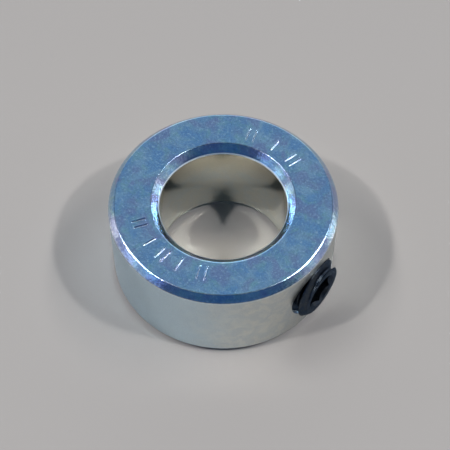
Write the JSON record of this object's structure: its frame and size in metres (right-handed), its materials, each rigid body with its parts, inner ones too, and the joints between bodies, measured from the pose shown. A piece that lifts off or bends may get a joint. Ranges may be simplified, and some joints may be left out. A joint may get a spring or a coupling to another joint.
{
  "type": "shaft collar",
  "caption": "Solid ring that slides onto a round shaft and is locked there by a socket set screw threaded through its side.",
  "frame": {"origin": "centre of the shaft bore at mid-width", "axes": "+Z along the bore, out of the marked end face; +X along the set screw, out of the tapped hole"},
  "size_m": [0.0296, 0.0286, 0.0126],
  "materials": {
    "zinc_plate": "steel, bright zinc plate with a blue passivate",
    "black_oxide": "alloy steel, black oxide, lightly oiled"
  },
  "bodies": {
    "ring": {"collar_ring": "zinc_plate"},
    "point": {"cup_point": "black_oxide"},
    "screw": {"set_screw": "black_oxide"}
  },
  "joints": [
    {"name": "screw_advance", "type": "slide", "parent": "ring", "child": "point", "axis": [1, 0, 0], "range_m": [-0.00099, 0.00282]},
    {"name": "screw_turn", "type": "hinge", "parent": "point", "child": "screw", "pos_m": [0.012, 0, 0], "axis": [1, 0, 0], "range_deg": [-253, 720]}
  ],
  "couplings": [
    {"joint": "screw_turn", "follows": "screw_advance", "rad_per_m": 4452.7}
  ]
}
